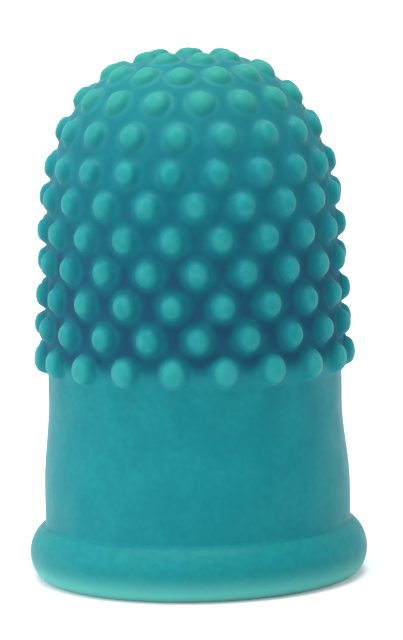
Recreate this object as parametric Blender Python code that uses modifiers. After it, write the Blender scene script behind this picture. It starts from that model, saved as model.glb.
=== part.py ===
"""Rubber fingertip for sorting paper: a closed finger sleeve, a nubbed grip layer and a mouth bead.

The sleeve is the core. It has two seats: the grip layer is drawn over its domed end down to a
shoulder, and the bead sits round its open end under the cuff. +Z runs up the finger's axis from
the open end, which stands on Z = 0.
"""

import math

import bmesh
import bpy
from mathutils import Matrix, Vector

MM = 0.001

# Sleeve
MOUTH_BORE = 16.0 * MM       # diameter that the finger enters
CORE_WALL = 0.6 * MM         # sleeve under the grip layer and under the bead
GRIP_LAYER = 0.6 * MM        # rubber that the grip layer adds under its nubs
CLEARANCE = 0.3 * MM         # gap between the sleeve and a piece seated on it
MOUTH_ROUND = 0.4 * MM       # rounding where the finger enters
NECK_DIAMETER = 18.2 * MM    # outside, where the cuff meets the grip layer
FLARE_START = 5.5 * MM       # height where the cuff starts to narrow
FLARE_END = 11.0 * MM        # height where it has narrowed to the neck

# Closed end
GRIP_START = 12.6 * MM       # height of the shoulder that the grip layer comes down to
LAYER_SWELL = 0.2 * MM       # how far the layer swells past the neck at its first row of nubs
SWELL_HEIGHT = 1.2 * MM      # height over which it does
DOME_START = 20.0 * MM       # height where the barrel turns into the dome
DOME_DIAMETER = 18.0 * MM    # outside, where the dome starts
CROWN_HEIGHT = 32.35 * MM    # outside of the dome, between the nubs
DOME_FULLNESS = 2.55         # power of the dome's curve: 2 is an ellipse, more is squarer

# Nubs
NUB_HEIGHT = 0.7 * MM        # of a nub at the shoulder
CROWN_NUB = 0.45 * MM        # height of a nub at the crown
NUB_BASE = 2.0 * MM          # diameter at a nub's root, inside the layer
NUB_SHOULDER = 1.5 * MM      # diameter where its side turns into the rounded top
LOW_NUB_SHOULDER = 1.75 * MM     # the same on the larger nubs of the first row
NUB_TOP = 0.75 * MM          # diameter of the flat left in the middle of the top
NUB_CAP = 0.3 * MM           # height of the rounded top
NUBS_AROUND = 19             # in a row on the barrel
DOME_STEP = 2                # how many fewer each row on the dome has than the row below it
NUB_GAP = 0.1 * MM           # least gap between the roots of neighbours in a row
FIRST_ROW = 1.25 * MM        # from the shoulder up to the first row
ROW_PITCH = 2.0 * MM         # from row to row on the barrel, along the surface
DOME_PITCH = 2.3 * MM        # from row to row on the dome
FRONT = math.radians(-90.0)  # direction that the nubs are turned from, -Y
NUB_TURN = math.radians(1.7)     # turn of the whole field about the axis
CROWN_TURN = math.radians(-7.0)  # further turn of the rows on the dome
BARREL_ROWS = 7              # rows that are full, below the ones on the dome

# Bead
BEAD_PROUD = 1.0 * MM        # how far it stands out from the cuff
BEAD_WIDEST = 1.6 * MM       # height of its widest line
BEAD_TOP_RADIUS = 2.1 * MM   # rounding from the widest line in to the crease under the cuff

# Facets
SLEEVE_SEGMENTS = 40
BEAD_SEGMENTS = 40
LAYER_SEGMENTS_PER_NUB = 2
NUB_SIDES = 6
CUFF_STEPS = 5
BARREL_STEPS = 2
DOME_STEPS = 10
BEAD_STEPS = 5
ROUND_STEPS = 3
WALK_STEPS = 200             # straight pieces that stand for the dome when rows are spaced along it

# Sizes that follow from those above
WALL = CORE_WALL + CLEARANCE + GRIP_LAYER
BORE_RADIUS = MOUTH_BORE / 2
CUFF_RADIUS = BORE_RADIUS + WALL
NECK_RADIUS = NECK_DIAMETER / 2
DOME_RADIUS = DOME_DIAMETER / 2
LIP_ROUND = min(MOUTH_ROUND, 0.75 * CORE_WALL)
NUB_ROOT = GRIP_LAYER / 2    # depth that a nub is sunk into the layer that it joins
BEAD_CHORD = BEAD_TOP_RADIUS - BEAD_PROUD
CREASE = BEAD_WIDEST + math.sqrt(BEAD_TOP_RADIUS ** 2 - BEAD_CHORD ** 2)

SLEEVE_TEAL = (0.016, 0.270, 0.300, 1.0)
GRIP_TEAL = (0.018, 0.300, 0.310, 1.0)
BEAD_TEAL = (0.022, 0.310, 0.315, 1.0)
RUBBER_ROUGHNESS = 0.5


def clear_scene():
    for old in list(bpy.data.objects):
        bpy.data.objects.remove(old, do_unlink=True)


def new_collection(name):
    collection = bpy.data.collections.new(name)
    bpy.context.scene.collection.children.link(collection)
    return collection


def rubber(name, colour):
    material = bpy.data.materials.new(name)
    material.use_nodes = True
    shader = material.node_tree.nodes["Principled BSDF"]
    shader.inputs["Base Color"].default_value = colour
    shader.inputs["Roughness"].default_value = RUBBER_ROUGHNESS
    shader.inputs["Metallic"].default_value = 0.0
    return material


def cuff_radius(z):
    """Outside of the cuff: straight above the bead, then an easy narrowing to the neck."""
    t = min(max((z - FLARE_START) / (FLARE_END - FLARE_START), 0.0), 1.0)
    return CUFF_RADIUS + (NECK_RADIUS - CUFF_RADIUS) * t * t * (3 - 2 * t)


def cuff_heights(low, high):
    """Heights for the cuff's outline, close together only where it curves."""
    curve = [FLARE_START + (FLARE_END - FLARE_START) * i / CUFF_STEPS for i in range(CUFF_STEPS + 1)]
    return [low] + [z for z in curve if low < z < high] + [high]


def closed_end(inset, foot, dome_steps=DOME_STEPS):
    """Outline (radius, height) of the closed end from foot up to the crown, moved in by inset."""
    barrel_low = NECK_RADIUS - inset
    radius = DOME_RADIUS - inset
    rise = CROWN_HEIGHT - inset - DOME_START
    points = []
    for i in range(BARREL_STEPS):
        share = i / BARREL_STEPS
        points.append((barrel_low + (radius - barrel_low) * share, foot + (DOME_START - foot) * share))
    power = 2 / DOME_FULLNESS
    for i in range(dome_steps):
        angle = math.pi / 2 * i / dome_steps
        points.append((radius * math.cos(angle) ** power, DOME_START + rise * math.sin(angle) ** power))
    points.append((0.0, DOME_START + rise))
    return points


def turned(name, outline, segments, ring, collection, material):
    """Turns an outline about Z. It runs down its outer side; a ring's outline closes on itself."""
    mesh = bpy.data.meshes.new(name)
    edges = [(i, i + 1) for i in range(len(outline) - 1)]
    if ring:
        edges.append((len(outline) - 1, 0))
    mesh.from_pydata([(radius, 0.0, z) for radius, z in outline], edges, [])
    mesh.materials.append(material)
    obj = bpy.data.objects.new(name, mesh)
    collection.objects.link(obj)
    screw = obj.modifiers.new("Turn", "SCREW")
    screw.steps = segments
    screw.render_steps = segments
    screw.use_merge_vertices = True
    screw.merge_threshold = 0.001 * MM
    return obj


def sleeve_outline():
    seat = GRIP_LAYER + CLEARANCE
    shoulder = GRIP_START - CLEARANCE
    cuff_foot = CREASE + CLEARANCE
    outline = list(reversed(closed_end(seat, shoulder)))
    outline += [(cuff_radius(z), z) for z in reversed(cuff_heights(cuff_foot, shoulder))]
    outline += [(BORE_RADIUS + CORE_WALL, cuff_foot), (BORE_RADIUS + CORE_WALL, 0.0)]
    for i in range(ROUND_STEPS + 1):
        angle = math.pi / 2 * i / ROUND_STEPS
        outline.append((BORE_RADIUS + LIP_ROUND * (1 - math.sin(angle)), LIP_ROUND * (1 - math.cos(angle))))
    outline += [(cuff_radius(z) - WALL, z) for z in cuff_heights(cuff_foot, shoulder)]
    outline += closed_end(WALL, shoulder)[1:]
    return outline


def bead_outline():
    inner = BORE_RADIUS + CORE_WALL + CLEARANCE
    outline = [(inner, CREASE)]
    sweep = math.acos(BEAD_CHORD / BEAD_TOP_RADIUS)
    for i in range(BEAD_STEPS):
        angle = sweep * (1 - i / BEAD_STEPS)
        radius = CUFF_RADIUS - BEAD_CHORD + BEAD_TOP_RADIUS * math.cos(angle)
        outline.append((radius, BEAD_WIDEST + BEAD_TOP_RADIUS * math.sin(angle)))
    for i in range(BEAD_STEPS + 1):
        angle = math.pi / 2 * i / BEAD_STEPS
        outline.append((CUFF_RADIUS + BEAD_PROUD * math.cos(angle), BEAD_WIDEST * (1 - math.sin(angle))))
    outline.append((inner, 0.0))
    return outline


def layer_outside(dome_steps=DOME_STEPS):
    """Outline of the layer between its nubs: it leaves the neck flush and soon swells."""
    foot, *_ = closed_end(0.0, GRIP_START)
    swell = (NECK_RADIUS + LAYER_SWELL, GRIP_START + SWELL_HEIGHT)
    return [foot, swell] + closed_end(0.0, GRIP_START, dome_steps)[BARREL_STEPS:]


def layer_outline():
    return list(reversed(layer_outside())) + closed_end(GRIP_LAYER, GRIP_START)


def along(outline, distance):
    """Point of an outline at a distance along it, and the outward normal there. None past its end."""
    for (r0, z0), (r1, z1) in zip(outline, outline[1:]):
        length = math.hypot(r1 - r0, z1 - z0)
        if distance <= length:
            share = distance / length
            normal = ((z1 - z0) / length, (r0 - r1) / length)
            return (r0 + (r1 - r0) * share, z0 + (z1 - z0) * share), normal
        distance -= length
    return None


def nub_rows():
    """(point, normal, count) of each row of nubs from the shoulder up, and of the nub on the crown."""
    surface = layer_outside(WALK_STEPS)
    crown = ((0.0, CROWN_HEIGHT), (0.0, 1.0), 1)
    rows = []
    while True:
        on_dome = max(len(rows) + 1 - BARREL_ROWS, 0)
        found = along(surface, FIRST_ROW + ROW_PITCH * (len(rows) - on_dome) + DOME_PITCH * on_dome)
        if found is None or found[0][0] < NUB_BASE + NUB_GAP:
            return rows + [crown]
        (radius, z), normal = found
        half_step = math.asin((NUB_BASE + NUB_GAP) / (2 * radius))
        wanted = NUBS_AROUND - DOME_STEP * on_dome
        rows.append(((radius, z), normal, min(wanted, int(math.pi / half_step))))


def nub_height(z):
    """Height of a nub that stands at z: nubs get lower towards the crown."""
    return NUB_HEIGHT + (CROWN_NUB - NUB_HEIGHT) * (z - GRIP_START) / (CROWN_HEIGHT - GRIP_START)


def nub_mesh(height, shoulder):
    """One nub: a tapered peg with a rounded top, its root below Z = 0 and its top at height."""
    side = height - NUB_CAP + NUB_ROOT
    bm = bmesh.new()
    bmesh.ops.create_cone(
        bm,
        cap_ends=True,
        segments=NUB_SIDES,
        radius1=NUB_BASE / 2,
        radius2=shoulder / 2,
        depth=side,
        matrix=Matrix.Translation((0.0, 0.0, side / 2 - NUB_ROOT)),
    )
    top = max(bm.faces, key=lambda face: face.calc_center_median().z)
    flat = math.cos(math.pi / NUB_SIDES)
    bmesh.ops.inset_region(bm, faces=[top], thickness=(shoulder - NUB_TOP) / 2 * flat, depth=NUB_CAP)
    mesh = bpy.data.meshes.new("nub")
    bm.to_mesh(mesh)
    bm.free()
    return mesh


def nub_field(name, collection):
    """Every nub, each still its own body, in staggered rows that stand square to the surface."""
    bm = bmesh.new()
    rows = nub_rows()
    for index, ((radius, z), (out, up), count) in enumerate(rows):
        pattern = nub_mesh(nub_height(z), NUB_SHOULDER if index else LOW_NUB_SHOULDER)
        stagger = 0.5 * ((index + 1) % 2)
        start_angle = FRONT + NUB_TURN + (CROWN_TURN if index >= BARREL_ROWS else 0.0)
        for i in range(count):
            turn = Matrix.Rotation(start_angle + 2 * math.pi * (i + stagger) / count, 4, "Z")
            stand = Vector((0.0, 0.0, 1.0)).rotation_difference(Vector((out, 0.0, up)))
            seat = Matrix.Translation((radius, 0.0, z)) @ stand.to_matrix().to_4x4()
            first = len(bm.verts)
            bm.from_mesh(pattern)
            bm.verts.ensure_lookup_table()
            bmesh.ops.transform(bm, matrix=turn @ seat, verts=bm.verts[first:])
        bpy.data.meshes.remove(pattern)
    print("nub rows, from the shoulder to the crown:", [count for _, _, count in rows])
    mesh = bpy.data.meshes.new(name)
    bm.to_mesh(mesh)
    bm.free()
    obj = bpy.data.objects.new(name, mesh)
    collection.objects.link(obj)
    obj.hide_render = True
    obj.display_type = "WIRE"
    return obj


def main():
    clear_scene()
    parts = new_collection("rubber_fingertip")
    helpers = new_collection("fingertip_helpers")
    axis = bpy.data.objects.new("finger_axis", None)
    parts.objects.link(axis)

    sleeve = turned(
        "finger_sleeve",
        sleeve_outline(),
        SLEEVE_SEGMENTS,
        False,
        parts,
        rubber("sleeve_rubber", SLEEVE_TEAL),
    )
    bead = turned("rim_bead", bead_outline(), BEAD_SEGMENTS, True, parts, rubber("bead_rubber", BEAD_TEAL))
    grip = turned(
        "nubbed_grip",
        layer_outline(),
        LAYER_SEGMENTS_PER_NUB * NUBS_AROUND,
        False,
        parts,
        rubber("grip_rubber", GRIP_TEAL),
    )
    union = grip.modifiers.new("Nubs", "BOOLEAN")
    union.operation = "UNION"
    union.solver = "EXACT"
    union.use_self = True
    union.object = nub_field("grip_nubs", helpers)

    for piece in (sleeve, grip, bead):
        piece.parent = axis


main()
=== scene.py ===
"""Rubber fingertip standing on a white table: fine rubber surfaces over the frame, light and camera."""

import math
import random

import bmesh
import bpy
import numpy as np
from mathutils import Matrix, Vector
from mathutils.kdtree import KDTree


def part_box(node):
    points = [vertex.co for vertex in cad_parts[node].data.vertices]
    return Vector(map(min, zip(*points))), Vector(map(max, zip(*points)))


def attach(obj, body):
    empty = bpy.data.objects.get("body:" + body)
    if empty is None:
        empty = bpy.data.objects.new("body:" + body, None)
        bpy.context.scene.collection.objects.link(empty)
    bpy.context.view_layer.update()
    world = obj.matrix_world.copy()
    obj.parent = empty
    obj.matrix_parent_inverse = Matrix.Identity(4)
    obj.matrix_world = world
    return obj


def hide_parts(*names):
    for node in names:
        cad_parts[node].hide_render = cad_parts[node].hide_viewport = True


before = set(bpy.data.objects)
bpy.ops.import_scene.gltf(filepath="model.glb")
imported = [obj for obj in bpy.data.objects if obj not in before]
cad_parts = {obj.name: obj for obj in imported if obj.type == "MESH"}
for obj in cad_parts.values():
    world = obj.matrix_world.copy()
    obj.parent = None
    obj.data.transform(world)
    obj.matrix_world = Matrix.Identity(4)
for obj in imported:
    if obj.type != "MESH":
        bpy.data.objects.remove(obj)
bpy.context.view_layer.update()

MM = 0.001

# Sizes taken from the frame
CUFF_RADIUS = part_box("finger_sleeve")[1].x
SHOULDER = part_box("nubbed_grip")[0].z
BEAD_LOW, BEAD_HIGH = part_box("rim_bead")
BEAD_RADIUS = BEAD_HIGH.x
GROUND = BEAD_LOW.z

# Sleeve
CORE_WALL = 0.6 * MM
GRIP_LAYER = 0.6 * MM
SEAT_GAP = 0.02 * MM         # between the sleeve and the grip layer drawn over it
WALL = 1.5 * MM
LIP_ROUND = 0.4 * MM
BORE_START = 1.0 * MM        # height where the bore starts to follow the cuff
NECK_RADIUS = 9.1 * MM
FLARE_START = 5.5 * MM
FLARE_END = 11.0 * MM
UNEVEN = 0.035 * MM          # how far the soft cuff strays from true round
# Strength, number round the cuff, start, and turn for each millimetre up
CUFF_WAVES = ((1.0, 3, 1.3, 0.4), (0.6, 5, 0.0, -0.7))

# Closed end
LAYER_SWELL = 0.2 * MM
SWELL_HEIGHT = 1.2 * MM
DOME_START = 20.0 * MM
DOME_RADIUS = 9.0 * MM
CROWN_HEIGHT = 32.35 * MM
DOME_FULLNESS = 2.55

# Nubs
NUB_HEIGHT = 0.7 * MM        # of a nub at the shoulder
CROWN_NUB = 0.45 * MM        # of a nub at the crown
NUB_BASE = 2.0 * MM          # room that a nub's root takes in its row
NUB_GAP = 0.1 * MM
NUB_RADIUS = 0.66 * MM       # where the rounded top meets the side
LOW_NUB_RADIUS = 0.78 * MM   # the same on the larger nubs of the first row
NUB_CAP = 0.44 * MM          # height of the rounded top
NUB_FULLNESS = 2.0           # power of the rounded top's curve
NUB_TAPER = 0.12 * MM        # how much wider the side is where it meets the fillet
NUB_FILLET = 0.19 * MM       # height of the fillet at the foot
CAP_TURNS = (75, 60, 45, 32, 20)    # degrees where the rounded top has a ring, down to the side
FILLET_TURNS = (25, 45, 65, 90)     # the same for the fillet, from the side to the foot
NUB_FOOT = 1.08 * MM         # radius where the fillet meets the layer, where there is room
FOOT_ROOM = 0.04 * MM        # least distance from a nub's foot to the edge of its cell
NUB_OVAL = 0.08              # how much taller than wide a nub's top is, as a share
LOW_NUB_OVAL = 0.16
TOP_FLATTEN = 0.7            # how much of the layer's curve is lost at a nub's top, as a share
GAP_START = 0.98 * MM        # from a nub's middle to where the gap's shade starts
GAP_REACH = 0.58 * MM        # from there to the middle of the gap among three nubs
NUBS_AROUND = 19
DOME_STEP = 2                # how many fewer nubs each row on the dome has than the row below it
FIRST_ROW = 1.25 * MM
ROW_PITCH = 2.0 * MM         # from row to row on the barrel
DOME_PITCH = 2.3 * MM        # and on the dome
FRONT = math.radians(-90.0)
NUB_TURN = math.radians(1.7)
CROWN_TURN = math.radians(-7.0)
BARREL_ROWS = 7
CELL_SIDE = 4                # steps up a nub's cell
CELL_TOP = 8                 # steps across it
CROWN_SIDES = 28             # sides of the nub on the crown
STRIP = 0.05 * MM            # half the strip between the cells of two rows
WEAVE = 0.25 * MM            # how far the cells of two full rows reach in between each other
SPREAD_HEIGHT = 0.04         # how much nubs differ, as a share
SPREAD_RADIUS = 0.03
SPREAD_LEAN = 0.03 * MM
SPREAD_SEED = 19

# Bead
BEAD_WIDEST = 1.6 * MM
BEAD_TOP_RADIUS = 2.1 * MM
BEAD_FILLET = 0.35 * MM      # small hollow where the bead meets the cuff

# Mesh
AROUND = NUBS_AROUND * CELL_TOP     # steps round a turned outline
FINE = 4000                  # straight pieces that stand for the closed end's outline
SWELL_STEPS = 40
BARREL_STEPS = 60
DOME_STEPS = 16              # on the faces where sleeve and grip layer meet
BORE_STEPS = 24
CUFF_RINGS = 30
ROUND_STEPS = 6              # on the lip and in the hollow over the bead
BEAD_STEPS = 14
CELL_START = math.radians(-30)      # direction from a nub's middle to where its cell's edge starts
SLOPE_STEP = 0.02 * MM       # to either side of a row, to find the layer's slope there
ON_AXIS = 1e-9               # a smaller radius counts as this one
WELD = 0.001 * MM
SHARP = math.radians(55)

# Colours of the rubber
TEAL = (0.003, 0.248, 0.284)
PALE_TEAL = (0.008, 0.290, 0.315)
DEEP_TEAL = (0.002, 0.195, 0.235)
# painted light: nub tops paler than the rubber around them, for the light they catch
TOP_TEAL = (0.005, 0.274, 0.289)
LOW_TOP_TEAL = (0.017, 0.320, 0.318)    # on the tops of the first row
# paler patches at random on the nub tops
TOP_PATCH_TEAL = (0.038, 0.386, 0.382)
# painted shade: the dark blue teal between the nubs stands for the shadow the nubs cast
GAP_SHADE_TEAL = (0.011, 0.084, 0.152)
# painted light: the crown paler and greener for the light from above
CROWN_LIGHT_TEAL = (0.031, 0.342, 0.284)
# painted light bounced up from the white table onto the bead's lower edge
TABLE_BOUNCE_TEAL = (0.120, 0.540, 0.490)
# painted light: the bead is the same rubber, made paler for the light it gets
LIT_BEAD_TEAL = (0.012, 0.288, 0.284)

# Where they lie: heights, or rises up a nub, from which and to which a colour changes
GAP_ONSET = (SHOULDER + 0.6 * MM, SHOULDER + 2.0 * MM)
GAP_DECLINE = (18.0 * MM, 27.0 * MM)
GAP_ON_DOME = 0.42           # share of the gaps' shade that is left above that
GAP_RISE = (-0.9, 1.05)
LOW_ROW_END = (SHOULDER + 1.9 * MM, SHOULDER + 2.5 * MM)
TOP_RISE = (0.5, 0.95)
# heights and rises over which the painted crown light sets in
CROWN_LIGHT_ONSET = (25.5 * MM, 32.5 * MM)
CROWN_LIGHT_RISE = (-0.4, 0.8)
GAP_CROWN_LIGHT = 0.25              # share of the painted crown light that gets between the nubs
# heights over which the painted table bounce fades out
TABLE_BOUNCE_END = (0.1 * MM, 1.8 * MM)

# Unevenness: scale and detail of a noise, and the values that it is spread over
NOISE_RANGE = (0.3, 0.7)     # nearly all values of a noise lie in this range
MOTTLE = (420.0, 4.0)
SPECKS = (2400.0, 2.0)
SPECK_SPREAD = (0.0, 0.45)
# unevenness of the painted shade between the nubs
GAP_SHADE_NOISE = (900.0, 3.0)
GAP_SHADE_SPREAD = (0.8, 1.2)
TOP_PATCHES = (1500.0, 2.0)
TOP_PATCH_SPREAD = (0.0, 0.6)
POLISH = (700.0, 2.0)
ROUGHNESS_SPREAD = (0.46, 0.60)
GRAIN = (4200.0, 3.0)
GRAIN_STRENGTH = 0.12
GRAIN_DEPTH = 0.05 * MM

# Finish of the rubber
FINISH = {
    "Specular IOR Level": 0.14,
    "Sheen Weight": 0.10,
    "Sheen Roughness": 0.38,
    "Subsurface Weight": 0.2,
    "Subsurface Radius": (0.3, 1.0, 1.0),
    "Subsurface Scale": 0.5 * MM,
}
GAP_ROUGHNESS = 1.0
DULL_DEPTH = 0.5             # depth of the gaps from which they are that rough

# Table
WHITE = (1.0, 1.0, 1.0, 1.0)
PAPER = (0.93, 0.93, 0.93)
PALE_PAPER = (0.95, 0.95, 0.95)
PAPER_MOTTLE = (6.0, 2.0)
PAPER_ROUGHNESS = 0.9
TABLE_GLOW = 0.25            # light that only the camera sees, to keep the shadow faint
TABLE_SIZE = 4.0
TABLE_DROP = 0.02 * MM       # keeps the table's face out of the plane of the bead's

# Light and camera
SKY = 0.33
SKY_COLOUR = (0.88, 0.95, 1.0, 1.0)
# Energy, size, tilt from straight overhead, and turn round from the front to the left
SOFT_SUNS = {
    "overhead": (2.75, math.radians(40), math.radians(5), math.radians(-30)),
    "left_fill": (1.4, math.radians(80), math.radians(68), math.radians(-65)),
}
EYE = (0.48 * MM, -260.0 * MM, 51.3 * MM)
EYE_DOWN = math.radians(7.76)
EYE_ROLL = math.radians(-1.28)
LENS = 238.1
SENSOR = 36.0
NEAR = 0.01


class Surface:
    """Points with their rise up a nub, and faces, gathered until they become one mesh."""

    def __init__(self):
        self.points = []
        self.rise = []
        self.faces = []

    def add(self, points, rise=0.0):
        first = len(self.points)
        self.points.extend(map(tuple, points))
        self.rise.extend(np.broadcast_to(rise, len(points)))
        return list(range(first, len(self.points)))

    def piece(self, name, material):
        mesh = bpy.data.meshes.new(name)
        mesh.from_pydata(self.points, [], self.faces)
        mesh.attributes.new("rise", "FLOAT", "POINT").data.foreach_set("value", np.array(self.rise, "f"))
        bm = bmesh.new()
        bm.from_mesh(mesh)
        bmesh.ops.remove_doubles(bm, verts=bm.verts, dist=WELD)
        bm.to_mesh(mesh)
        bm.free()
        mesh.shade_smooth()
        mesh.set_sharp_from_angle(angle=SHARP)
        mesh.materials.append(material)
        obj = bpy.data.objects.new(name, mesh)
        bpy.context.scene.collection.objects.link(obj)
        return obj


def ease(share):
    return share * share * (3 - 2 * share)


def closed_end(inset, steps):
    """Outline (radius, height) of the closed end from the shoulder up to the crown, moved in by inset."""
    radius = DOME_RADIUS - inset
    rise = CROWN_HEIGHT - inset - DOME_START
    points = [(NECK_RADIUS - inset, SHOULDER)]
    power = 2 / DOME_FULLNESS
    for i in range(steps):
        angle = math.pi / 2 * i / steps
        points.append((radius * math.cos(angle) ** power, DOME_START + rise * math.sin(angle) ** power))
    return points + [(0.0, DOME_START + rise)]


def cuff_radius(z):
    share = min(max((z - FLARE_START) / (FLARE_END - FLARE_START), 0.0), 1.0)
    return CUFF_RADIUS + (NECK_RADIUS - CUFF_RADIUS) * ease(share)


def ring_angles():
    """Angles of the points of a ring, which starts and ends at the back."""
    return FRONT + math.pi + NUB_TURN + 2 * math.pi * np.arange(AROUND) / AROUND


def ring_points(radius, z):
    angles = ring_angles()
    return np.column_stack([radius * np.cos(angles), radius * np.sin(angles), np.broadcast_to(z, AROUND)])


def turn(surface, outline, loop=False):
    """Turns an outline about Z. It runs down its outer side, and a loop closes on itself."""
    rings = []
    for radius, z in outline:
        at_axis = np.ndim(radius) == 0 and radius == 0.0
        rings.append(surface.add([(0.0, 0.0, z)]) if at_axis else surface.add(ring_points(radius, z)))
    for upper, lower in zip(rings, rings[1:] + rings[:1] if loop else rings[1:]):
        for i in range(AROUND):
            k = (i + 1) % AROUND
            if len(upper) == 1:
                surface.faces.append((upper[0], lower[i], lower[k]))
            elif len(lower) == 1:
                surface.faces.append((upper[i], lower[0], upper[k]))
            else:
                surface.faces.append((upper[i], lower[i], lower[k], upper[k]))


def bead_join():
    """Centre of the hollow between cuff and bead, and the point where it meets the bead."""
    reach = BEAD_TOP_RADIUS + BEAD_FILLET
    out = CUFF_RADIUS + BEAD_FILLET - (BEAD_RADIUS - BEAD_TOP_RADIUS)
    up = math.sqrt(reach ** 2 - out ** 2)
    centre = (CUFF_RADIUS + BEAD_FILLET, BEAD_WIDEST + up)
    share = BEAD_TOP_RADIUS / reach
    return centre, (BEAD_RADIUS - BEAD_TOP_RADIUS + out * share, BEAD_WIDEST + up * share)


def cuff_wave(angles, z):
    """How far each place round the cuff strays at a height, in shares of its unevenness."""
    return sum(
        strength * np.sin(count * angles + start + twist * z / MM)
        for strength, count, start, twist in CUFF_WAVES
    )


def sleeve(material):
    """Down the outside from the crown to the mouth, and back up the bore."""
    (hollow_r, hollow_z), (join_r, join_z) = bead_join()
    core = CUFF_RADIUS - WALL + CORE_WALL
    bore = CUFF_RADIUS - WALL
    outline = list(reversed(closed_end(GRIP_LAYER + SEAT_GAP, DOME_STEPS)))
    angles = ring_angles()
    for z in np.linspace(SHOULDER, hollow_z, CUFF_RINGS):
        fade = math.sin(math.pi * (SHOULDER - z) / (SHOULDER - hollow_z)) ** 2
        outline.append((cuff_radius(z) + UNEVEN * fade * cuff_wave(angles, z), z))
    low = math.atan2(hollow_z - join_z, hollow_r - join_r)
    for i in range(1, ROUND_STEPS + 1):
        angle = low * i / ROUND_STEPS
        outline.append((hollow_r - BEAD_FILLET * math.cos(angle), hollow_z - BEAD_FILLET * math.sin(angle)))
    outline += [(core, join_z), (core, GROUND)]
    for i in range(ROUND_STEPS + 1):
        angle = math.pi / 2 * i / ROUND_STEPS
        radius = bore + LIP_ROUND * (1 - math.sin(angle))
        outline.append((radius, GROUND + LIP_ROUND * (1 - math.cos(angle))))
    outline += [(cuff_radius(z) - WALL, z) for z in np.linspace(BORE_START, SHOULDER, BORE_STEPS)]
    outline += closed_end(WALL, BORE_STEPS)[1:]
    surface = Surface()
    turn(surface, outline)
    return surface.piece("sleeve", material)


def bead(material):
    """From where it meets the cuff, round its outside to the ground, and back up behind."""
    join_r, join_z = bead_join()[1]
    centre = BEAD_RADIUS - BEAD_TOP_RADIUS
    top = math.atan2(join_z - BEAD_WIDEST, join_r - centre)
    core = CUFF_RADIUS - WALL + CORE_WALL
    proud = BEAD_RADIUS - CUFF_RADIUS
    below = BEAD_WIDEST - GROUND
    outline = [(core, join_z)]
    for i in range(BEAD_STEPS):
        angle = top * (1 - i / BEAD_STEPS)
        radius = centre + BEAD_TOP_RADIUS * math.cos(angle)
        outline.append((radius, BEAD_WIDEST + BEAD_TOP_RADIUS * math.sin(angle)))
    for i in range(BEAD_STEPS + 1):
        angle = math.pi / 2 * i / BEAD_STEPS
        outline.append((CUFF_RADIUS + proud * math.cos(angle), GROUND + below * (1 - math.sin(angle))))
    outline.append((core, GROUND))
    surface = Surface()
    turn(surface, outline, loop=True)
    return surface.piece("bead", material)


def nub_profile(shoulder, foot):
    """(radius, height) from just off the middle of a nub's top down to its foot."""
    points = []
    power = 2 / NUB_FULLNESS
    waist = shoulder + NUB_TAPER
    for degrees in CAP_TURNS:
        angle = math.radians(degrees)
        rise = NUB_CAP * math.sin(angle) ** power
        points.append((shoulder * math.cos(angle) ** power, NUB_HEIGHT - NUB_CAP + rise))
    fillet = []
    for degrees in FILLET_TURNS:
        angle = math.radians(degrees)
        radius = foot - (foot - waist) * math.cos(angle)
        fillet.append((radius, NUB_FILLET * (1 - math.sin(angle))))
    side = np.add(points[-1], fillet[0]) / 2
    return points + [tuple(side)] + fillet


def layer_outside():
    """Outline of the layer between its nubs: it leaves the neck flush and soon swells."""
    points = [(NECK_RADIUS, SHOULDER)]
    top = NECK_RADIUS + LAYER_SWELL
    low = SHOULDER + SWELL_HEIGHT
    for i in range(1, SWELL_STEPS + 1):
        share = i / SWELL_STEPS
        points.append((NECK_RADIUS + LAYER_SWELL * ease(share), SHOULDER + SWELL_HEIGHT * share))
    for i in range(1, BARREL_STEPS):
        share = i / BARREL_STEPS
        points.append((top + (DOME_RADIUS - top) * share, low + (DOME_START - low) * share))
    return points + closed_end(0.0, FINE)[1:]


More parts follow.
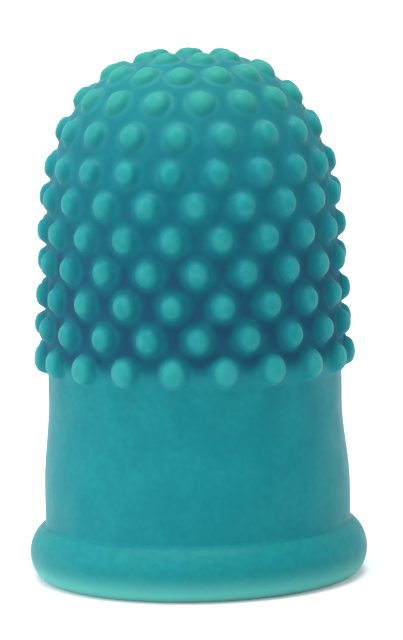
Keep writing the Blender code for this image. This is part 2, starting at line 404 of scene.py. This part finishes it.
class NubField:
    """Staggered rows of nubs on the closed end, each nub in a cell of its own."""

    def __init__(self):
        outline = np.array(layer_outside())
        run = np.concatenate([[0.0], np.cumsum(np.hypot(*np.diff(outline, axis=0).T))])
        self.along = np.linspace(0.0, run[-1], FINE)
        self.radius = np.interp(self.along, run, outline[:, 0])
        self.height = np.interp(self.along, run, outline[:, 1])
        self.random = random.Random(SPREAD_SEED)
        self.surface = Surface()
        self.centres = []

    def at(self, distance):
        return np.interp(distance, self.along, self.radius), np.interp(distance, self.along, self.height)

    def place(self, turned, distance):
        radius, z = self.at(distance)
        return np.column_stack([radius * np.cos(turned), radius * np.sin(turned), z])

    def nearest(self, points):
        """The points moved onto the layer's surface, each to the nearest place on it."""
        flat = np.hypot(points[:, 0], points[:, 1])
        gap = (flat[:, None] - self.radius) ** 2 + (points[:, 2][:, None] - self.height) ** 2
        best = gap.argmin(axis=1)
        scale = self.radius[best] / np.maximum(flat, ON_AXIS)
        return np.column_stack([points[:, 0] * scale, points[:, 1] * scale, self.height[best]])

    def rows(self):
        """(distance along the outline, count, turn of the first nub) of each row."""
        found = []
        while True:
            on_dome = max(len(found) + 1 - BARREL_ROWS, 0)
            distance = FIRST_ROW + ROW_PITCH * (len(found) - on_dome) + DOME_PITCH * on_dome
            radius = self.at(distance)[0]
            if distance > self.along[-1] or radius < NUB_BASE + NUB_GAP:
                return found
            half_step = math.asin((NUB_BASE + NUB_GAP) / (2 * radius))
            wanted = NUBS_AROUND - DOME_STEP * on_dome
            count = min(wanted, int(math.pi / half_step))
            start = FRONT + NUB_TURN + (CROWN_TURN if len(found) >= BARREL_ROWS else 0.0)
            stagger = 0.5 * ((len(found) + 1) % 2)
            found.append((distance, count, start + 2 * math.pi * stagger / count))

    def cell_edge(self, distance, half_turn, below, above):
        """Edge of a cell at turn 0: right side, top, left side and bottom, as seen from outside.

        below and above are (distance to the edge, how far the edge weaves out at the middle of the cell).
        """
        up = np.arange(CELL_SIDE) / CELL_SIDE
        across = 1 - 2 * np.arange(CELL_TOP) / CELL_TOP
        wave = np.cos(math.pi * across)
        low, high = -below[0] + below[1], above[0] - above[1]
        turned = half_turn * np.concatenate([
            np.ones(CELL_SIDE),
            across,
            -np.ones(CELL_SIDE),
            -across,
        ])
        along = np.concatenate([
            low + (high - low) * up,
            above[0] + above[1] * wave,
            high + (low - high) * up,
            -below[0] - below[1] * wave,
        ])
        return self.place(turned, distance + along)

    def row(self, distance, count, start, below, above):
        """One row of cells. Returns its lower and upper edge as lists of (angle, point)."""
        radius, z = self.at(distance)
        (r0, z0), (r1, z1) = self.at(distance - SLOPE_STEP), self.at(distance + SLOPE_STEP)
        up = np.array([r1 - r0, 0.0, z1 - z0]) / math.hypot(r1 - r0, z1 - z0)
        side = np.array([0.0, 1.0, 0.0])
        out = np.cross(side, up)
        centre = np.array([radius, 0.0, z])
        tall = 1 + (CROWN_NUB / NUB_HEIGHT - 1) * (z - SHOULDER) / (CROWN_HEIGHT - SHOULDER)
        size = 2 * (CELL_SIDE + CELL_TOP)
        polar = CELL_START + 2 * math.pi * np.arange(size) / size
        spokes = np.outer(np.cos(polar), side) + np.outer(np.sin(polar), up)

        edge = self.cell_edge(distance, math.pi / count, below, above)
        room = np.linalg.norm(edge - centre, axis=1).min() - FOOT_ROOM
        rings, heights, reaches = [], [], []
        lowest = distance == FIRST_ROW
        shoulder = LOW_NUB_RADIUS if lowest else NUB_RADIUS
        longer = LOW_NUB_OVAL if lowest else NUB_OVAL
        for ring_radius, height in nub_profile(shoulder, min(NUB_FOOT, room)):
            share = height / NUB_HEIGHT
            oval = np.outer(np.sin(polar), up) * longer * math.sqrt(share)
            level = centre + ring_radius * (spokes + oval)
            curve = (self.nearest(level) - level) * (1 - TOP_FLATTEN * share)
            rings.append(level + curve + out * height * tall)
            heights.append(height)
            reaches.append(ring_radius)
        rings += [self.nearest((rings[-1] + edge) / 2), edge]
        heights += [0.0, 0.0]
        reaches += [0.0, 0.0]

        rings = np.array(rings)
        share = np.array(heights)[:, None, None] / NUB_HEIGHT
        lift = share * NUB_HEIGHT * tall
        reach = np.array(reaches)[:, None, None] * spokes
        rise = np.repeat(share, size)
        lower, upper = [], []
        for i in range(count):
            taller = self.random.uniform(-SPREAD_HEIGHT, SPREAD_HEIGHT)
            wider = self.random.uniform(-SPREAD_RADIUS, SPREAD_RADIUS)
            lean = self.random.uniform(-1, 1) * side + self.random.uniform(-1, 1) * up
            shaped = rings + out * lift * taller + (reach * wider + lean * SPREAD_LEAN) * share
            middle = centre + out * NUB_HEIGHT * tall * (1 + taller) + lean * SPREAD_LEAN
            angle = start + 2 * math.pi * i / count
            spin = np.array(Matrix.Rotation(angle, 3, "Z")).T
            self.centres.append(centre @ spin)
            top = self.surface.add([middle @ spin], 1.0)[0]
            added = self.surface.add(shaped.reshape(-1, 3) @ spin, rise)
            points = np.array(added).reshape(-1, size).tolist()
            for k in range(size):
                after = (k + 1) % size
                self.surface.faces.append((top, points[0][k], points[0][after]))
                for inner, outer in zip(points, points[1:]):
                    self.surface.faces.append((inner[k], outer[k], outer[after], inner[after]))
            half = math.pi / count
            for k in range(CELL_TOP):
                share_across = 2 * half * k / CELL_TOP
                lower.append((angle - half + share_across, points[-1][2 * CELL_SIDE + CELL_TOP + k]))
                upper.append((angle - half + share_across, points[-1][CELL_SIDE + CELL_TOP - k]))
        return lower, upper

    def crown_nub(self):
        """The one nub in the middle of the crown. Returns its foot as a list of (angle, point)."""
        surface = self.surface
        angles = 2 * math.pi * np.arange(CROWN_SIDES) / CROWN_SIDES
        spokes = np.column_stack([np.cos(angles), np.sin(angles), np.zeros(CROWN_SIDES)])
        centre = np.array([0.0, 0.0, CROWN_HEIGHT])
        self.centres.append(centre)
        top = surface.add([centre + (0.0, 0.0, CROWN_NUB)], 1.0)[0]
        rings = []
        for radius, height in nub_profile(NUB_RADIUS, NUB_FOOT):
            share = height / NUB_HEIGHT
            foot = self.nearest(centre + radius * spokes)
            rings.append(surface.add(foot + (0.0, 0.0, CROWN_NUB * share), share))
        for k in range(CROWN_SIDES):
            after = (k + 1) % CROWN_SIDES
            surface.faces.append((top, rings[0][k], rings[0][after]))
            for inner, outer in zip(rings, rings[1:]):
                surface.faces.append((inner[k], outer[k], outer[after], inner[after]))
        return list(zip(angles, rings[-1]))

    def close_strip(self, lower, upper):
        """Joins two rings of (angle, point) that may differ in number and in where they start."""
        lower = sorted((angle % (2 * math.pi), point) for angle, point in lower)
        upper = sorted((angle % (2 * math.pi), point) for angle, point in upper)
        i = j = 0
        while i < len(lower) or j < len(upper):
            low = lower[i % len(lower)][1]
            top = upper[j % len(upper)][1]
            next_low = lower[(i + 1) % len(lower)]
            next_top = upper[(j + 1) % len(upper)]
            low_turn = next_low[0] + 2 * math.pi * ((i + 1) // len(lower))
            top_turn = next_top[0] + 2 * math.pi * ((j + 1) // len(upper))
            if j == len(upper) or (i < len(lower) and low_turn <= top_turn):
                self.surface.faces.append((low, next_low[1], top))
                i += 1
            else:
                self.surface.faces.append((low, next_top[1], top))
                j += 1

    def sink(self):
        """Gives points between the nubs a negative rise: 0 at a nub's foot, -1 in the middle of a gap."""
        nearest = KDTree(len(self.centres))
        for index, centre in enumerate(self.centres):
            nearest.insert(centre, index)
        nearest.balance()
        for index, point in enumerate(self.surface.points):
            if self.surface.rise[index] <= 0.0:
                beyond = nearest.find(point)[2] - GAP_START
                self.surface.rise[index] = -min(max(beyond / GAP_REACH, 0.0), 1.0)

    def build(self, material):
        surface = self.surface
        turn(surface, [(NECK_RADIUS, SHOULDER)] + closed_end(GRIP_LAYER, DOME_STEPS))
        edge = list(zip(ring_angles(), range(AROUND)))
        rows = self.rows()
        edges = [(FIRST_ROW - STRIP, 0.0)]
        for (low, count, _), (high, next_count, _) in zip(rows, rows[1:]):
            edges.append(((high - low) / 2 - STRIP, WEAVE if count == next_count else 0.0))
        edges.append(edges[-1])
        for row, below, above in zip(rows, edges, edges[1:]):
            lower, edge_above = self.row(*row, below, above)
            self.close_strip(edge, lower)
            edge = edge_above
        self.close_strip(edge, self.crown_nub())
        self.sink()
        return surface.piece("nub_grip", material)


def add_node(tree, kind, **values):
    node = tree.nodes.new(kind)
    for name, value in values.items():
        setattr(node, name, value)
    return node


def noise(tree, scale, detail):
    node = add_node(tree, "ShaderNodeTexNoise")
    node.inputs["Scale"].default_value = scale
    node.inputs["Detail"].default_value = detail
    tree.links.new(tree.nodes["Texture Coordinate"].outputs["Object"], node.inputs["Vector"])
    return node.outputs["Fac"]


def spread(tree, value, low, high):
    """Maps a noise value around its middle onto low to high."""
    node = add_node(tree, "ShaderNodeMapRange")
    node.inputs["From Min"].default_value = NOISE_RANGE[0]
    node.inputs["From Max"].default_value = NOISE_RANGE[1]
    node.inputs["To Min"].default_value = low
    node.inputs["To Max"].default_value = high
    tree.links.new(value, node.inputs["Value"])
    return node.outputs["Result"]


def mix(tree, factor, first, second):
    """Mixes two colours, each a colour or a socket."""
    node = add_node(tree, "ShaderNodeMix", data_type="RGBA")
    tree.links.new(factor, node.inputs["Factor"])
    sockets = [socket for socket in node.inputs if socket.type == "RGBA"]
    for socket, colour in zip(sockets, (first, second)):
        if isinstance(colour, tuple):
            socket.default_value = (*colour, 1.0)
        else:
            tree.links.new(colour, socket)
    return next(socket for socket in node.outputs if socket.type == "RGBA")


def between(tree, value, low, high, start, end):
    """A smooth change from start to end while a value goes from low to high."""
    node = add_node(tree, "ShaderNodeMapRange", interpolation_type="SMOOTHSTEP")
    node.inputs["From Min"].default_value = low
    node.inputs["From Max"].default_value = high
    node.inputs["To Min"].default_value = start
    node.inputs["To Max"].default_value = end
    tree.links.new(value, node.inputs["Value"])
    return node.outputs["Result"]


def calculate(tree, operation, *values):
    node = add_node(tree, "ShaderNodeMath", operation=operation)
    for value, socket in zip(values, node.inputs):
        tree.links.new(value, socket)
    return node.outputs["Value"]


def times(tree, first, second):
    return calculate(tree, "MULTIPLY", first, second)


def larger(tree, first, second):
    return calculate(tree, "MAXIMUM", first, second)


def point_height(tree):
    split = add_node(tree, "ShaderNodeSeparateXYZ")
    tree.links.new(tree.nodes["Texture Coordinate"].outputs["Object"], split.inputs["Vector"])
    return split.outputs["Z"]


def nub_rise(tree):
    """1 on a nub's top, 0 at its foot and down to -1 between the nubs."""
    return add_node(tree, "ShaderNodeAttribute", attribute_name="rise").outputs["Fac"]


def gap_depth(tree):
    """1 deep between the nubs and 0 on their tops. It fades out at the cuff and, in part, over the dome."""
    z = point_height(tree)
    above_cuff = between(tree, z, *GAP_ONSET, 0.0, 1.0)
    on_dome = between(tree, z, *GAP_DECLINE, 1.0, GAP_ON_DOME)
    return times(tree, between(tree, nub_rise(tree), *GAP_RISE, 1.0, 0.0), times(tree, above_cuff, on_dome))


def nub_colour(tree, body):
    """Painted shade in uneven deep blue teal between the nubs, nub tops painted paler for the light they
    catch, with paler patches at random, and a paler, greener crown painted for the light from above.
    """
    rise = nub_rise(tree)
    z = point_height(tree)
    # painted shade between the nubs, deepest in the gaps and made uneven by a noise
    painted_gap_shade = times(tree, gap_depth(tree), spread(tree, noise(tree, *GAP_SHADE_NOISE), *GAP_SHADE_SPREAD))
    gap_shaded = mix(tree, painted_gap_shade, body, GAP_SHADE_TEAL)
    # painted light on the nub tops, with paler patches at random
    top = mix(tree, between(tree, z, *LOW_ROW_END, 1.0, 0.0), TOP_TEAL, LOW_TOP_TEAL)
    patched_top = mix(tree, spread(tree, noise(tree, *TOP_PATCHES), *TOP_PATCH_SPREAD), top, TOP_PATCH_TEAL)
    topped = mix(tree, between(tree, rise, *TOP_RISE, 0.0, 1.0), gap_shaded, patched_top)
    # painted light from above on the crown, stronger on the nub tops than between them
    crown_light_share = between(tree, rise, *CROWN_LIGHT_RISE, GAP_CROWN_LIGHT, 1.0)
    crown_light = times(tree, between(tree, z, *CROWN_LIGHT_ONSET, 0.0, 1.0), crown_light_share)
    return mix(tree, crown_light, topped, CROWN_LIGHT_TEAL)


def dull_gaps(material):
    """Roughens the rubber between the nubs, where nothing rubs it smooth."""
    tree = material.node_tree
    roughness = tree.nodes["Principled BSDF"].inputs["Roughness"]
    polish = roughness.links[0].from_socket
    dull = between(tree, gap_depth(tree), 0.0, DULL_DEPTH, 0.0, GAP_ROUGHNESS)
    tree.links.new(larger(tree, polish, dull), roughness)


def table_bounce_colour(tree, body):
    """Painted light bounced up from the white table: paler towards the edge that the fingertip stands on.
    """
    return mix(tree, between(tree, point_height(tree), *TABLE_BOUNCE_END, 1.0, 0.0), body, TABLE_BOUNCE_TEAL)


def rubber(name, plain, pale, detail=None):
    """Teal rubber with a soft sheen, mottled, with what detail adds to its colour."""
    material = bpy.data.materials.new(name)
    material.use_nodes = True
    tree = material.node_tree
    shader = tree.nodes["Principled BSDF"]
    add_node(tree, "ShaderNodeTexCoord")
    body = mix(tree, spread(tree, noise(tree, *MOTTLE), 0.0, 1.0), plain, pale)
    colour = mix(tree, spread(tree, noise(tree, *SPECKS), *SPECK_SPREAD), body, DEEP_TEAL)
    if detail:
        colour = detail(tree, colour)
    tree.links.new(colour, shader.inputs["Base Color"])
    tree.links.new(spread(tree, noise(tree, *POLISH), *ROUGHNESS_SPREAD), shader.inputs["Roughness"])
    bump = add_node(tree, "ShaderNodeBump")
    bump.inputs["Strength"].default_value = GRAIN_STRENGTH
    bump.inputs["Distance"].default_value = GRAIN_DEPTH
    tree.links.new(noise(tree, *GRAIN), bump.inputs["Height"])
    tree.links.new(bump.outputs["Normal"], shader.inputs["Normal"])
    for socket, value in FINISH.items():
        shader.inputs[socket].default_value = value
    return material


def seen(tree):
    """1 for the camera's own rays and for those it follows through gloss or glass, and otherwise 0."""
    path = add_node(tree, "ShaderNodeLightPath")
    total = path.outputs["Is Camera Ray"]
    for name in ("Is Glossy Ray", "Is Transmission Ray"):
        total = larger(tree, total, path.outputs[name])
    return total


def paper(name):
    """White table, a touch uneven in tone."""
    material = bpy.data.materials.new(name)
    material.use_nodes = True
    tree = material.node_tree
    shader = tree.nodes["Principled BSDF"]
    add_node(tree, "ShaderNodeTexCoord")
    tone = spread(tree, noise(tree, *PAPER_MOTTLE), 0.0, 1.0)
    tree.links.new(mix(tree, tone, PAPER, PALE_PAPER), shader.inputs["Base Color"])
    shader.inputs["Roughness"].default_value = PAPER_ROUGHNESS
    shader.inputs["Specular IOR Level"].default_value = 0.0
    shader.inputs["Emission Color"].default_value = WHITE
    tree.links.new(between(tree, seen(tree), 0.0, 1.0, 0.0, TABLE_GLOW), shader.inputs["Emission Strength"])
    return material


def dress():
    """The three rubber pieces, each in place of its part of the frame."""
    sleeve_rubber = rubber("sleeve_rubber", TEAL, PALE_TEAL)
    grip_rubber = rubber("grip_rubber", TEAL, PALE_TEAL, nub_colour)
    dull_gaps(grip_rubber)
    # the bead's rubber: a paler, painted-lit copy of the same rubber, with painted table bounce at its
    # lower edge
    bead_rubber = rubber("bead_rubber", LIT_BEAD_TEAL, PALE_TEAL, table_bounce_colour)
    pieces = (
        (sleeve(sleeve_rubber), "finger_sleeve", "sleeve_rubber"),
        (NubField().build(grip_rubber), "nubbed_grip", "grip_rubber"),
        (bead(bead_rubber), "rim_bead", "bead_rubber"),
    )
    for piece, node, slot in pieces:
        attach(piece, "root")
        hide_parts(node)


def set_table():
    bpy.ops.mesh.primitive_plane_add(size=TABLE_SIZE, location=(0.0, 0.0, GROUND - TABLE_DROP))
    table = bpy.context.object
    table.name = "table"
    table.data.materials.append(paper("table_white"))


def light_scene():
    scene = bpy.context.scene
    for name, (energy, size, tilt, side) in SOFT_SUNS.items():
        sun = bpy.data.objects.new(name, bpy.data.lights.new(name, "SUN"))
        sun.data.energy = energy
        sun.data.angle = size
        sun.matrix_world = Matrix.Rotation(side, 4, "Z") @ Matrix.Rotation(tilt, 4, "X")
        scene.collection.objects.link(sun)

    world = bpy.data.worlds.new("room")
    world.use_nodes = True
    tree = world.node_tree
    sky = tree.nodes["Background"]
    sky.inputs["Color"].default_value = SKY_COLOUR
    sky.inputs["Strength"].default_value = SKY
    white = add_node(tree, "ShaderNodeBackground")
    white.inputs["Color"].default_value = WHITE
    choose = add_node(tree, "ShaderNodeMixShader")
    tree.links.new(seen(tree), choose.inputs["Fac"])
    tree.links.new(sky.outputs["Background"], choose.inputs[1])
    tree.links.new(white.outputs["Background"], choose.inputs[2])
    tree.links.new(choose.outputs["Shader"], tree.nodes["World Output"].inputs["Surface"])
    scene.world = world
    scene.view_settings.view_transform = "Standard"


def set_camera():
    camera = bpy.data.objects.new("camera", bpy.data.cameras.new("camera"))
    camera.data.sensor_fit = "VERTICAL"
    camera.data.sensor_height = SENSOR
    camera.data.lens = LENS
    camera.data.clip_start = NEAR
    camera.matrix_world = (
        Matrix.Translation(EYE)
        @ Matrix.Rotation(math.pi / 2 - EYE_DOWN, 4, "X")
        @ Matrix.Rotation(EYE_ROLL, 4, "Z")
    )
    bpy.context.scene.collection.objects.link(camera)
    bpy.context.scene.camera = camera


dress()
set_table()
light_scene()
set_camera()

bpy.context.view_layer.update()
